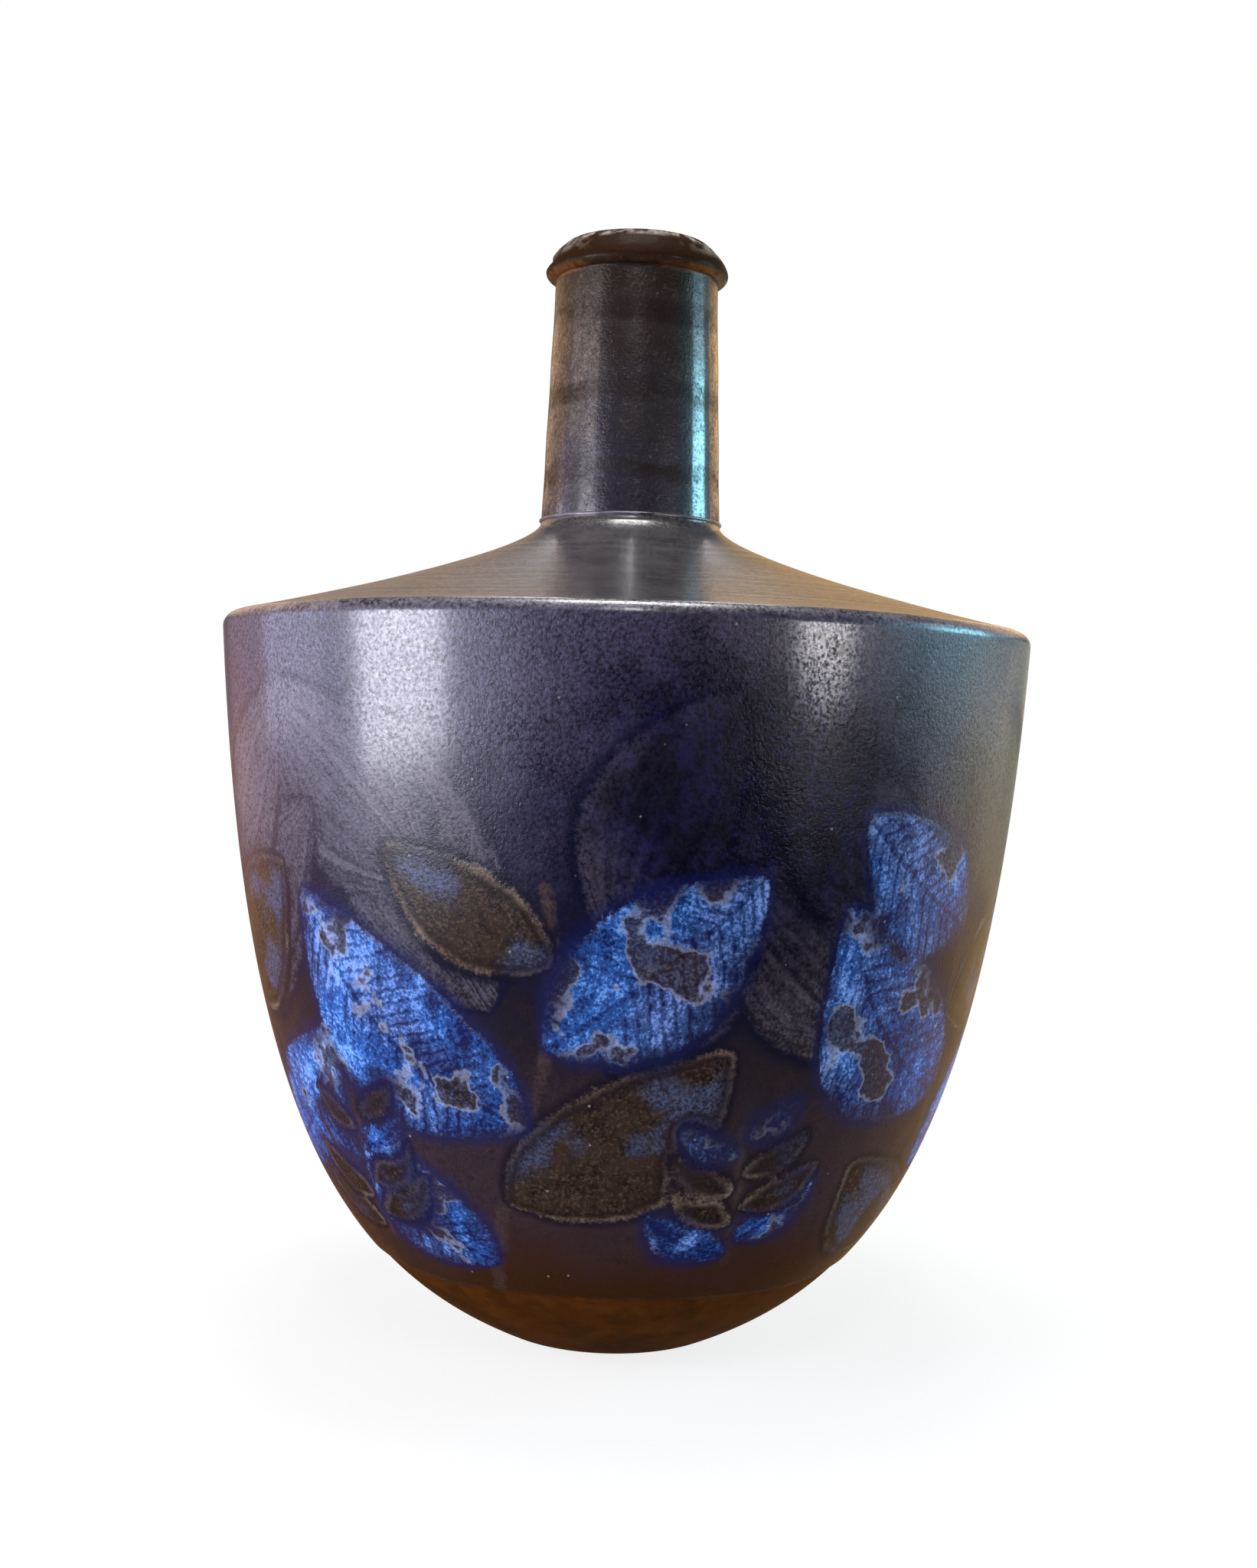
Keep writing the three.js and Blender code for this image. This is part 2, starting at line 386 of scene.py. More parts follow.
lipValues = {
    "Neck radius": 19.4 * mm, "Seat height": 250.9 * mm, "Overhang": 2.4 * mm, "Swell": 2 * mm,
    "Height": 8.75 * mm, "Crest radius": 16.3 * mm, "Bore": 15.4 * mm, "Inside drop": 2 * mm,
    "Slope start": 0.3, "Slope end": 0.22, "Unevenness": 0.2 * mm, "Seed": 2.0,
}
nickValues = {
    "angle": math.radians(-88), "height": 254.4 * mm,
    "tall": 1.6 * mm, "long": 12 * mm, "depth": 1.3 * mm,
}


def lipOutline(v):
    reach = arcReach(quarter)
    seat = (v["Neck radius"], v["Seat height"])
    widest = (seat[0] + v["Overhang"], seat[1] + v["Swell"])
    crest = (v["Crest radius"], seat[1] + v["Height"])
    mouth = (v["Bore"], crest[1] - v["Inside drop"])
    bore = (v["Bore"], seat[1])
    rolled = {"Unevenness": v["Unevenness"], "Seed": v["Seed"]}
    return [
        ([seat, (seat[0] + reach * v["Overhang"], seat[1]),
          (widest[0], widest[1] - reach * v["Swell"]), widest], 9, {}),
        ([widest, (widest[0], widest[1] + v["Slope start"] * (crest[1] - widest[1])),
          (crest[0] + v["Slope end"] * (widest[0] - crest[0]), crest[1]), crest], 18, rolled),
        ([crest, (between(crest[0], mouth[0], 2 / 3), crest[1]),
          (mouth[0], between(crest[1], mouth[1], 1 / 3)), mouth], 8, {}),
        ([mouth, bore], 3, {}),
        ([bore, seat], 2, {}),
    ]


def nickLip(piece, v):  # a small chip in the rim
    for vertex in piece.data.vertices:
        place = vertex.co
        radius = math.hypot(place.x, place.y)
        around = (math.atan2(place.x, -place.y) - v["angle"]) * radius
        far = math.hypot(around / v["long"], (place.z - v["height"]) / v["tall"])
        if far < 1 and radius > lipValues["Neck radius"]:
            cut = v["depth"] * (1 - far * far) ** 2 / radius
            place.x, place.y = place.x * (1 - cut), place.y * (1 - cut)


# Foot ring and the rings of slip

footValues = {"Radius": 22 * mm, "Bore": 15 * mm, "Height": 4 * mm, "Rounding": 0.6 * mm}


def footOutline(v):
    reach = v["Rounding"] * (1 - arcReach(quarter))
    inner, outer, top, soft = v["Bore"], v["Radius"], v["Height"], v["Rounding"]
    return [
        ([(inner, soft), (inner, reach), (inner + reach, 0), (inner + soft, 0)], 4, {}),
        ([(inner + soft, 0), (outer - soft, 0)], 2, {}),
        ([(outer - soft, 0), (outer - reach, 0), (outer, reach), (outer, soft)], 4, {}),
        ([(outer, soft), (outer, top)], 2, {}),
        ([(outer, top), (inner, top)], 2, {}),
        ([(inner, top), (inner, soft)], 2, {}),
    ]


shoulderSlipValues = {
    "Bore": 88.683 * mm, "Low radius": 94.683 * mm, "High radius": 94.735 * mm,
    "Underside": 160.4 * mm, "Top": 161.2 * mm, "Bead": 0,
}
neckSlipValues = {
    "Bore": 17.4 * mm, "Low radius": 21.4 * mm, "High radius": 21.4 * mm,
    "Underside": 193.2 * mm, "Top": 194 * mm, "Bead": 0.5 * mm,
}
lipSlipValues = {
    "Bore": 15.4 * mm, "Low radius": 19.4 * mm, "High radius": 19.4 * mm,
    "Underside": 250.1 * mm, "Top": 250.9 * mm, "Bead": 0,
}


def slipOutline(v):
    low, high = (v["Low radius"], v["Underside"]), (v["High radius"], v["Top"])
    lowBore, highBore = (v["Bore"], v["Underside"]), (v["Bore"], v["Top"])
    reach = v["Bead"] * (4 / 3)  # the middle of the curve then stands out by the bead
    return [
        ([lowBore, low], 2, {}),
        ([low, (low[0] + reach, low[1]), (high[0] + reach, high[1]), high], 8, {}),
        ([high, highBore], 2, {}),
        ([highBore, lowBore], 1, {}),
    ]


# Leaves painted on the bowl: each vertex keeps its depth inside the nearest leaf of each kind

sprayValues = {
    "sprays": 5, "firstAngle": math.radians(-11), "angleJitter": 0.07, "seed": 14,
    "wallFacing": 0.2, "wallSteps": 240, "gap": 1.6 * mm, "reach": 4.8 * mm, "ribSpacing": 3.1 * mm,
    "stemFoot": 40 * mm, "stemTop": 138 * mm, "topJitter": 8, "stemWidth": 2.4 * mm,
    "stemTaper": (0.62, 0.3), "sway": 9 * mm, "swayTurn": 3.6,
    "leafWidest": 0.85, "leafFullness": 0.8,
    "leafLengths": (44, 60, 66, 58, 46), "leafPlump": 0.5, "leafFirst": 0.08, "leafStep": 0.19,
    "leafLean": (40, 64), "leafScale": (0.92, 1.1), "plumpScale": (0.9, 1.15),
    "leafBend": (0.02, 0.12), "tintRange": 0.5, "ribSlant": 0.7,
    "broadLengths": (62, 72, 58, 66), "broadPlump": 0.5, "broadFirst": 0.6, "broadStep": 0.13,
    "broadLean": (22, 52), "broadOut": 30 * mm, "broadBend": 0.1,
    "sprigFoot": 50 * mm, "sprigTop": 84 * mm, "sprigSlant": 0.35, "sprigStem": 0.7 * mm,
    "sprigPairs": 4, "sprigFirst": 0.12, "sprigStagger": 0.25, "sprigOut": 1.2 * mm,
    "sprigLean": (0.75, 1.05), "sprigLength": 21 * mm, "sprigScale": (1.05, 0.12),
    "sprigPlump": 0.4, "sprigBend": 0.08, "sprigTint": (0.2, 0.4),
}


def leafDepth(v, across, up, foot, lean, length, plump, bend):  # metres inside, then its own axes
    x, y = across - foot[0], up - foot[1]
    along = (x * math.sin(lean) + y * math.cos(lean)) / length
    held = np.clip(along, 0, 1)
    side = x * math.cos(lean) - y * math.sin(lean) - bend * length * np.sin(math.pi * held)
    fullness = np.sin(math.pi * held ** v["leafWidest"]) ** v["leafFullness"]
    beyond = np.abs(along - held) * length
    return 0.5 * plump * length * fullness - np.hypot(side, beyond) - beyond, side, along


def paintLeaves(piece, v):
    mesh = piece.data
    count = len(mesh.vertices)
    spots, facing = np.empty(count * 3), np.empty(count * 3)
    mesh.vertices.foreach_get("co", spots)
    mesh.vertices.foreach_get("normal", facing)
    x, y, z = spots.reshape(-1, 3).T
    facingX, facingY = facing.reshape(-1, 3).T[:2]
    radius, angle = np.hypot(x, y), np.arctan2(x, -y)
    outward = (facingX * x + facingY * y) / np.maximum(radius, 1e-6)
    outsideWall = (outward > v["wallFacing"]) & (radius > bowlValues["Base radius"])
    order = np.argsort(z[outsideWall])  # distance up the wall, from the base
    wallZ, wallR = z[outsideWall][order], radius[outsideWall][order]
    heights = np.linspace(wallZ[0], wallZ[-1], v["wallSteps"])
    climbs = np.hypot(np.diff(heights), np.diff(np.interp(heights, wallZ, wallR)))
    up = np.interp(z, heights, np.concatenate([[0], np.cumsum(climbs)]))
    layers = {name: np.full(count, -1.0) for name in ("blueLeaf", "brownLeaf", "broadLeaf", "stem")}
    marks = {name: np.zeros(count) for name in ("leafTint", "leafRibs", "broadStroke")}
    marks["leafVein"] = np.ones(count)
    rng = random.Random(v["seed"])

    def add(name, depth, under=()):  # a leaf over the others, with a gap of bare glaze round it
        for below in under:
            layers[below] = np.minimum(layers[below], -depth - v["gap"])
        layers[name] = np.maximum(layers[name], depth)

    def mark(name, depth, value):
        marks[name] = np.where(depth > -v["gap"], value, marks[name])

    def coded(depth):  # a half at the edge, 0 and 1 at the reach on its two sides
        return np.clip(0.5 + 0.5 * depth / v["reach"], 0, 1)

    def aroundFrom(middle):
        return ((angle - middle + math.pi) % wholeTurn - math.pi) * radius

    def stemAt(share, sway, phase):
        return sway * np.sin(phase + v["swayTurn"] * share)

    sprays = []
    for number in range(v["sprays"]):
        jitter = rng.uniform(-v["angleJitter"], v["angleJitter"])
        middle = v["firstAngle"] + number * wholeTurn / v["sprays"] + jitter
        sway, phase = v["sway"] * rng.choice((-1, 1)), rng.uniform(0, wholeTurn)
        high = v["stemTop"] + rng.uniform(-v["topJitter"], v["topJitter"]) * mm
        sprays.append((number, middle, sway, phase, high))

    low = v["stemFoot"]
    for number, middle, sway, phase, high in sprays:  # broad grey leaves, behind everything
        across = aroundFrom(middle)
        for place, size in enumerate(v["broadLengths"]):
            at = v["broadFirst"] + v["broadStep"] * place
            lean = math.radians(rng.uniform(*v["broadLean"])) * (-1) ** (place + number)
            foot = (stemAt(at, sway, phase) + v["broadOut"] * math.sin(lean),
                    low + at * (high - low))
            bend = rng.uniform(-v["broadBend"], v["broadBend"])
            depth, offset, along = leafDepth(
                v, across, up, foot, lean, size * mm, v["broadPlump"], bend)
            taper = np.maximum(np.sin(math.pi * np.clip(along, 0.1, 0.9)), 0.3)
            mark("broadStroke", depth, offset / v["ribSpacing"] / taper + 20 * (place + 5 * number))
            add("broadLeaf", depth, ("broadLeaf",))

    for number, middle, sway, phase, high in sprays:  # a stem with blue and brown leaves
        across = aroundFrom(middle)
        share = (up - low) / (high - low)
        held = np.clip(share, 0, 1)
        thick, thinning = v["stemTaper"]
        fromStem = np.hypot(across - stemAt(held, sway, phase), (share - held) * (high - low))
        add("stem", v["stemWidth"] * (thick - thinning * held) - fromStem)
        side = rng.choice((-1, 1))
        for place, size in enumerate(v["leafLengths"]):
            at = v["leafFirst"] + place * v["leafStep"]
            foot = (stemAt(at, sway, phase), low + at * (high - low))
            lean = side * math.radians(rng.uniform(*v["leafLean"]))
            length = size * mm * rng.uniform(*v["leafScale"])
            plump = v["leafPlump"] * rng.uniform(*v["plumpScale"])
            bend = side * rng.uniform(*v["leafBend"])
            depth, offset, along = leafDepth(v, across, up, foot, lean, length, plump, bend)
            mark("leafTint", depth, rng.uniform(0.0, v["tintRange"]) + v["tintRange"] * along)
            ribs = along * length + v["ribSlant"] * np.abs(offset)
            mark("leafRibs", depth, ribs / v["ribSpacing"])
            mark("leafVein", depth, coded(offset))
            add("brownLeaf" if (place + number) % 3 == 1 else "blueLeaf", depth, layers)
            side = -side

    low, rise = v["sprigFoot"], v["sprigTop"] - v["sprigFoot"]
    for number, middle, *rest in sprays:  # a low twig of small leaves between two sprays
        across = aroundFrom(middle + math.pi / v["sprays"])
        slant = rng.uniform(-v["sprigSlant"], v["sprigSlant"])
        held = np.clip((up - low) / rise, 0, 1)
        add("stem", v["sprigStem"] - np.hypot(across - slant * rise * held, up - low - held * rise))
        for pair in range(v["sprigPairs"]):
            longest, fall = v["sprigScale"]
            length = v["sprigLength"] * (longest - fall * pair)
            for side in (-1, 1):
                at = v["sprigFirst"] + (pair + v["sprigStagger"] * side) / v["sprigPairs"]
                foot = (slant * rise * at + side * v["sprigOut"], low + at * rise)
                lean = side * rng.uniform(*v["sprigLean"])
                depth, offset, along = leafDepth(
                    v, across, up, foot, lean, length, v["sprigPlump"], side * v["sprigBend"])
                tint, growth = v["sprigTint"]
                mark("leafTint", depth, tint + growth * along)
                mark("leafVein", depth, coded(offset))
                add("blueLeaf" if (pair + number) % 3 == 0 else "brownLeaf", depth, layers)

    values = {name: coded(depth) * outsideWall for name, depth in layers.items()}
    for name, value in {**values, **marks}.items():
        attribute = mesh.attributes.new(name, "FLOAT", "POINT")
        attribute.data.foreach_set("value", value.astype(np.float32))
    print("leaves painted on", piece.name)


# Finishes

def newFinish(name):
    finish = bpy.data.materials.new(name)
    finish.use_nodes = True
    finish.node_tree.nodes.clear()
    w = Wire(finish.node_tree)
    return finish, w, w.node("ShaderNodeTexCoord", output="Object")


def noise(w, place, scale, detail=2.0, roughness=0.5):  # about zero
    return w.node("ShaderNodeTexNoise", inputs={
        "Vector": place, "Scale": scale, "Detail": detail, "Roughness": roughness}) - 0.5


def lineNoise(w, along, scale):  # about zero, on one axis
    return w.node("ShaderNodeTexNoise", {"noise_dimensions": "1D"}, {
        "W": along, "Scale": scale, "Detail": 3.0}) - 0.5


def closeFinish(w, bumpHeight, bumpDistance, inputs, dullShare=None):
    inputs["Normal"] = w.node("ShaderNodeBump", inputs={
        "Strength": 1.0, "Distance": bumpDistance, "Height": bumpHeight})
    shader = w.node("ShaderNodeBsdfPrincipled", inputs=inputs)
    if dullShare is not None:  # the same surface with less shine, where the glaze is thin
        thin = {name: inputs[name] for name in ("Base Color", "Roughness", "Normal")}
        dull = w.node("ShaderNodeBsdfPrincipled", inputs={**thin, "Specular IOR Level": 0.015})
        shader = w.node("ShaderNodeMixShader", inputs={0: dullShare, 1: shader, 2: dull})
    w.node("ShaderNodeOutputMaterial", inputs={"Surface": shader})


# Pairs named Foot or Top are heights in millimetres, between which a zone begins or ends
glazeValues = {
    "deep": paint(11, 10, 24), "pale": paint(62, 60, 87), "navy": paint(7, 9, 36),
    "scorch": paint(48, 26, 10), "umber": paint(46, 36, 42),
    # edge: paler glaze at the shoulder's edge, partly glaze breaking thin there and partly a
    # painted highlight along the edge line
    "crownDark": paint(44, 43, 48), "crownPale": paint(94, 87, 86), "edge": paint(132, 128, 134),
    "bare": paint(75, 39, 1), "bareDark": paint(48, 24, 0), "fleck": paint(150, 140, 146),
    "blueDark": paint(11, 22, 72), "blueMid": paint(32, 92, 172), "bluePale": paint(106, 158, 228),
    "slate": paint(58, 84, 128), "lilac": paint(104, 124, 204), "halo": paint(128, 136, 150),
    "brown": paint(46, 36, 28), "brownDark": paint(20, 14, 12), "brownPale": paint(80, 67, 54),
    "broad": paint(80, 78, 92), "outline": paint(112, 101, 92), "stem": paint(62, 51, 48),
    "pool": paint(4, 5, 22), "poolBlue": paint(10, 18, 66), "poolPlace": (0.028, -0.09, 0.13),
    "poolSquash": (1, 1, 1.35), "poolReach": (0.022, 0.06),
    "glazeFoot": (22.7, 23.7), "scorchTop": (22, 50), "umberTop": (48, 104),
    "navyFoot": (74, 106), "navyTop": (104, 150), "upperFoot": (88, 150),
    "edgeFoot": (166.0, 167.4), "edgeTop": (168.2, 169.6), "crownFoot": (166.5, 169),
    "shineFoot": (22, 95), "coatFoot": (90, 145),
    "cloudScale": 34, "patchScale": 58, "driftScale": 95,
    "flowScale": 300, "flowStretch": (1, 1, 0.28),
    "fineScale": 420, "grainScale": 1350, "lineScale": 420.0, "strokeScale": 1.3, "pitScale": 240.0,
    "leafEdge": (0.42, 0.58), "grainDepth": 0.2 * mm,
}


def makeGlaze(v):
    finish, w, place = newFinish("bodyGlaze")
    height = place.axis(2) * 1000
    cloud = noise(w, place, v["cloudScale"], 3.0)
    patch = noise(w, place, v["patchScale"], 2.5)
    drift = noise(w, place, v["driftScale"], 4.0, 0.6)
    flow = noise(w, place.scaled(v["flowStretch"]), v["flowScale"], 3.0, 0.6)
    fine = noise(w, place, v["fineScale"], 3.0, 0.6)
    grain = noise(w, place, v["grainScale"], 3.0, 0.7)
    grainy = grain * 4.5
    upper = (height + cloud * 60).rise(*v["upperFoot"])
    crown = height.rise(*v["crownFoot"])

    # The ground: indigo wall, navy band, brown foot, and fine rings on the crown
    colour = w.mix(upper * (0.5 + grainy * 0.8) + drift * 0.6, v["deep"], v["pale"])
    navyTop = (height + cloud * 90).rise(*v["navyTop"])
    navyBand = (height + drift * 60).rise(*v["navyFoot"]) * (1 - navyTop)
    colour = w.mix(navyBand * 0.85, colour, v["navy"])
    low = 1 - (height + drift * 40).rise(*v["umberTop"])
    colour = w.mix(low * (0.85 + grainy * 0.35 + fine * 0.8), colour, v["umber"])
    colour = w.mix(1 - (height + cloud * 30).rise(*v["scorchTop"]), colour, v["scorch"])
    spread = place.scaled((1, 1, 0)).length()
    lines = lineNoise(w, spread + cloud * 0.01, v["lineScale"])
    crownShare = lines * 0.6 + drift * 1.6 + grainy * 0.6 + 0.42
    colour = w.mix(crown, colour, w.mix(crownShare, v["crownDark"], v["crownPale"]))
    # Paler band round the shoulder's edge: partly glaze breaking thin over the rounding, partly a
    # painted highlight along the edge line
    edgeBreakAndHighlight = (height + fine * 2).rise(*v["edgeFoot"]) * (1 - height.rise(*v["edgeTop"]))
    colour = w.mix(edgeBreakAndHighlight * (0.25 + grainy * 0.4 + drift), colour, v["edge"])

    # Leaves: every edge is shifted by noise, and fades where the paint went on thinly
    shift = fine * 0.14 + grain * 0.22 + flow * 0.16 + drift * 0.34
    thinly = patch.rise(-0.1, 0.08)

    def layer(name):
        return w.node("ShaderNodeAttribute", {"attribute_name": name}, output=2)

    def filled(leaf, heart, loss):  # 1 inside a leaf, less towards its edge where it is thin
        return leaf.rise(*v["leafEdge"]) * (1 - thinly * (1 - leaf.rise(*heart)) * loss)

    broad = layer("broadLeaf") + shift
    broadIn = broad.rise(0.4, 0.62)
    colour = w.mix(broad.rise(0.12, 0.42) * (1 - broadIn) * 0.9, colour, v["navy"])
    strokes = lineNoise(w, layer("broadStroke") + fine * 0.6, v["strokeScale"])
    petal = upper * 0.2 + broad.rise(0.5, 1.0) * 0.16 + grainy * 0.4 + fine * 0.8
    colour = w.mix(broadIn * (petal + (strokes + 0.12) * 1.2), colour, v["broad"])

    fromPool = w.vector("SUBTRACT", place, v["poolPlace"]).scaled(v["poolSquash"]).length()
    pooled = 1 - (fromPool + cloud * 0.03 + drift * 0.02).rise(*v["poolReach"])
    poolShare = (drift + 0.05) * 2.2 + fine * 1.6 + grainy * 0.3
    colour = w.mix(pooled * 0.92, colour, w.mix(poolShare, v["pool"], v["poolBlue"]))

    stem = (layer("stem") + shift).rise(0.4, 0.58) * (0.5 + grainy * 0.3 + drift * 2)
    colour = w.mix(stem, colour, v["stem"])
    ribs = (layer("leafRibs") * wholeTurn + fine * 5 + drift * 9).cosine().rise(0.3, 1.0)
    vein = layer("leafVein") - 0.5
    veinLine = 1 - (vein * vein).rise(0.0012, 0.006)

    brown = layer("brownLeaf") + shift
    brownIn = filled(brown, (0.55, 1.1), 0.7)
    brownShare = fine * 2.4 + drift * 3 + 0.35 + veinLine * 0.3
    brownTone = w.mix(brownShare, v["brown"], v["brownDark"])
    brownTone = w.mix(grainy * 0.8 + drift * 1.2, brownTone, v["brownPale"])
    wash = w.mix(patch.rise(0.0, 0.12) * (0.35 + grainy * 0.5), brownTone, v["slate"])
    wash = w.mix(brown.ridge((0.6, 0.7), (0.72, 0.9)) * 0.6, wash, v["brownDark"])
    rim = (1 - brown.rise(0.56, 0.7)) * (0.2 + grainy * 0.35 + drift * 2.4)
    wash = w.mix(rim, wash, v["outline"])
    colour = w.mix(brown.rise(0.2, 0.47) * (1 - brownIn) * 0.75, colour, v["deep"])
    colour = w.mix(brownIn, colour, wash)

    blue = layer("blueLeaf") + shift
    blueIn = filled(blue, (0.5, 1.15), 0.85)
    tone = drift * 2.0 + flow * 1.3 + fine * 0.9 + grainy * 0.6 + layer("leafTint") * 1.1 + 0.04
    tone = tone - ribs * cloud.rise(-0.15, 0.1) * 0.45 - veinLine * 0.3 + blue.rise(0.5, 1.0) * 0.15
    dusky = cloud.rise(-0.08, 0.1)
    blueTone = w.mix(tone, v["blueDark"], w.mix(dusky * 0.7, v["blueMid"], v["slate"]))
    paleTone = w.mix(dusky * 0.6, v["bluePale"], v["lilac"])
    blueTone = w.mix((tone - 0.72) * 1.6, blueTone, paleTone)
    inlet = drift + patch * 1.6  # brown runs into the blue, with a pale halo
    blueTone = w.mix(inlet.ridge((0.08, 0.12), (0.14, 0.2)) * 0.5, blueTone, v["halo"])
    blueTone = w.mix(inlet.rise(0.13, 0.18) * 0.85, blueTone, brownTone)
    colour = w.mix(blue.rise(0.04, 0.5) * (1 - blueIn) * 0.6, colour, v["blueDark"])
    colour = w.mix(blueIn, colour, blueTone)

    # Flecks over everything, and the bare clay under the edge of the glaze
    pits, pitTint = (w.node("ShaderNodeTexVoronoi", inputs={
        "Vector": place, "Scale": v["pitScale"]}, output=output) for output in (0, 1))
    chosen = w.node("ShaderNodeSeparateColor", inputs={0: pitTint}).rise(0.8, 0.82)
    colour = w.mix((1 - pits.rise(0.04, 0.09)) * chosen * 0.5, colour, v["fleck"])
    glazed = (height + cloud * 5 + fine * 2).rise(*v["glazeFoot"])
    bareTone = w.mix(drift * 2.4 + fine * 1.5 + 0.4, v["bare"], v["bareDark"])
    colour = w.mix(glazed, bareTone, colour)

    # Shine and grain: the coat's weight follows the grain, because the bump doesn't reach it
    rough = 0.3 + upper * 0.06 - crown * 0.16 + drift * 0.3 * (1 - crown)
    rough = (rough + broadIn * 0.08 - pooled * 0.12) * glazed + (1 - glazed) * 0.5
    coat = 0.47 + grainy * (0.42 + pooled * 0.9) + (lines + 0.3) * crown * 0.75
    coat = coat * (height + cloud * 30).rise(*v["coatFoot"]) * glazed
    bump = (grain + 0.5) * (0.25 + 0.75 * upper) * (1 - crown * 0.5) + drift * 0.4 * (1 - crown)
    bump = bump + blueIn * 0.6 + brownIn * 0.3 + lines * crown * 0.5
    dullShare = 0.85 - (height + cloud * 24).rise(*v["shineFoot"]) * 0.85 + pooled * 0.62
    closeFinish(w, bump, v["grainDepth"], {
        "Base Color": colour, "Roughness": rough, "Specular IOR Level": 0.4,
        "Coat Weight": coat, "Coat Roughness": 0.19, "Coat IOR": 1.6}, dullShare)
    return finish


neckFinishValues = {
    "deep": paint(30, 21, 13), "violet": paint(29, 24, 36), "ring": paint(26, 14, 10),
    "wearAndHighlight": paint(160, 150, 138), "lipUnderHighlight": paint(96, 62, 26), "glint": paint(110, 88, 82),
    "rim": paint(42, 25, 12), "ringSpacing": 18.7, "ringStart": 203.4,
    "violetTop": (200, 240), "ringTop": (246, 250), "coatTop": (236, 251), "roughFoot": (249, 252),
    "lipUnderHighlightFoot": (249.8, 250.8), "lipUnderHighlightTop": (251.4, 252.6), "dullFoot": (250.6, 253),
    "rimFoot": (251, 254), "sideFoot": (254, 257), "crestFoot": (257.4, 258.8),
    "cloudScale": 60, "fineScale": 420, "grainScale": 1350, "grainDepth": 0.14 * mm,
}


def makeNeckGlaze(v):
    finish, w, place = newFinish("neckGlaze")
    height = place.axis(2) * 1000
    cloud = noise(w, place, v["cloudScale"], 3.0)
    fine = noise(w, place, v["fineScale"], 3.0, 0.6)
    grain = noise(w, place, v["grainScale"], 3.0, 0.7)
    ringPlace = height - v["ringStart"] + cloud * 9
    rings = (ringPlace * (wholeTurn / v["ringSpacing"])).cosine()
    colour = w.mix((height + cloud * 50).rise(*v["violetTop"]), v["violet"], v["deep"])
    colour = w.mix((grain - 0.1) * 3.0 + fine, colour, v["glint"])
    band = rings.rise(0.5, 0.95) * (0.35 + cloud.rise(-0.15, 0.1) * 0.65)
    band = band * (1 - height.rise(*v["ringTop"]))
    colour = w.mix(band, colour, v["ring"])
    colour = w.mix(height.rise(*v["rimFoot"]) * 0.8, colour, v["rim"])
    across = place.axis(0) * 1000
    sideways = across * across
    # A painted highlight: a thin bronze line under the lip, stronger towards its left and right
    # sides
    under = height.ridge(v["lipUnderHighlightFoot"], v["lipUnderHighlightTop"]) * (0.25 + sideways.rise(40, 250))
    colour = w.mix(under * (0.3 + fine * 2.5 + cloud * 4), colour, v["lipUnderHighlight"])
    # Pale patches: wear all round the crest, and painted highlights on the left and right of the
    # lip's side
    wearAndHighlightShare = height.rise(*v["sideFoot"]) * sideways.rise(60, 200) * 0.4
    wearAndHighlightShare = wearAndHighlightShare + height.rise(*v["crestFoot"])
    colour = w.mix(wearAndHighlightShare * ((cloud - 0.04) * 9 + fine * 4), colour, v["wearAndHighlight"])
    rough = 0.33 + cloud * 0.3 + rings * 0.04 + height.rise(*v["roughFoot"]) * 0.14
    coat = 0.88 - band * 0.25 + grain * 4 + fine * 2
    coat = coat * (1 - height.rise(*v["coatTop"]) * 0.8)
    closeFinish(w, grain + fine * 0.8, v["grainDepth"], {
        "Base Color": colour, "Roughness": rough, "Specular IOR Level": 0.24,
        "Coat Weight": coat, "Coat Roughness": 0.135, "Coat IOR": 1.6},
        height.rise(*v["dullFoot"]) * 0.94 + band * 0.4)
    return finish


clayValues = {
    "pale": paint(128, 94, 62), "dark": paint(78, 54, 34), "speck": paint(36, 26, 20),
    "cloudScale": 110, "grainScale": 1400, "speckScale": 600.0, "grainDepth": 0.12 * mm,
}


def makeClay(v):
    finish, w, place = newFinish("bareClay")
    cloud = noise(w, place, v["cloudScale"], 3.0)
    grain = noise(w, place, v["grainScale"], 2.0, 0.6)
    colour = w.mix(cloud * 2.4 + 0.5, v["dark"], v["pale"])
    specks = w.node("ShaderNodeTexVoronoi", inputs={"Vector": place, "Scale": v["speckScale"]})
    colour = w.mix(1 - specks.rise(0.08, 0.2), colour, v["speck"])
    closeFinish(w, grain, v["grainDepth"], {"Base Color": colour, "Roughness": 0.8 + grain * 0.3})
    return finish


# The slip bead at the neck's foot: its pale grey is partly a painted highlight along the seam
slipValues = {
    "dark": paint(46, 41, 44), "pale": paint(118, 114, 122),
    "cloudScale": 260, "grainScale": 1300, "grainDepth": 0.05 * mm,
}


def makeSlip(v):
    finish, w, place = newFinish("firedSlip")
    cloud = noise(w, place, v["cloudScale"], 3.0)
    # pale tone partly a painted highlight along the neck seam
    colour = w.mix(cloud * 2.4 + 0.45, v["dark"], v["pale"])
    closeFinish(w, noise(w, place, v["grainScale"]), v["grainDepth"], {
        "Base Color": colour, "Roughness": 0.3 + cloud * 0.2,
        "Coat Weight": 0.4, "Coat Roughness": 0.18})
    return finish


bodyGlaze = makeGlaze(glazeValues)
neckGlaze = makeNeckGlaze(neckFinishValues)
bareClay = makeClay(clayValues)
firedSlip = makeSlip(slipValues)
print("finishes made")

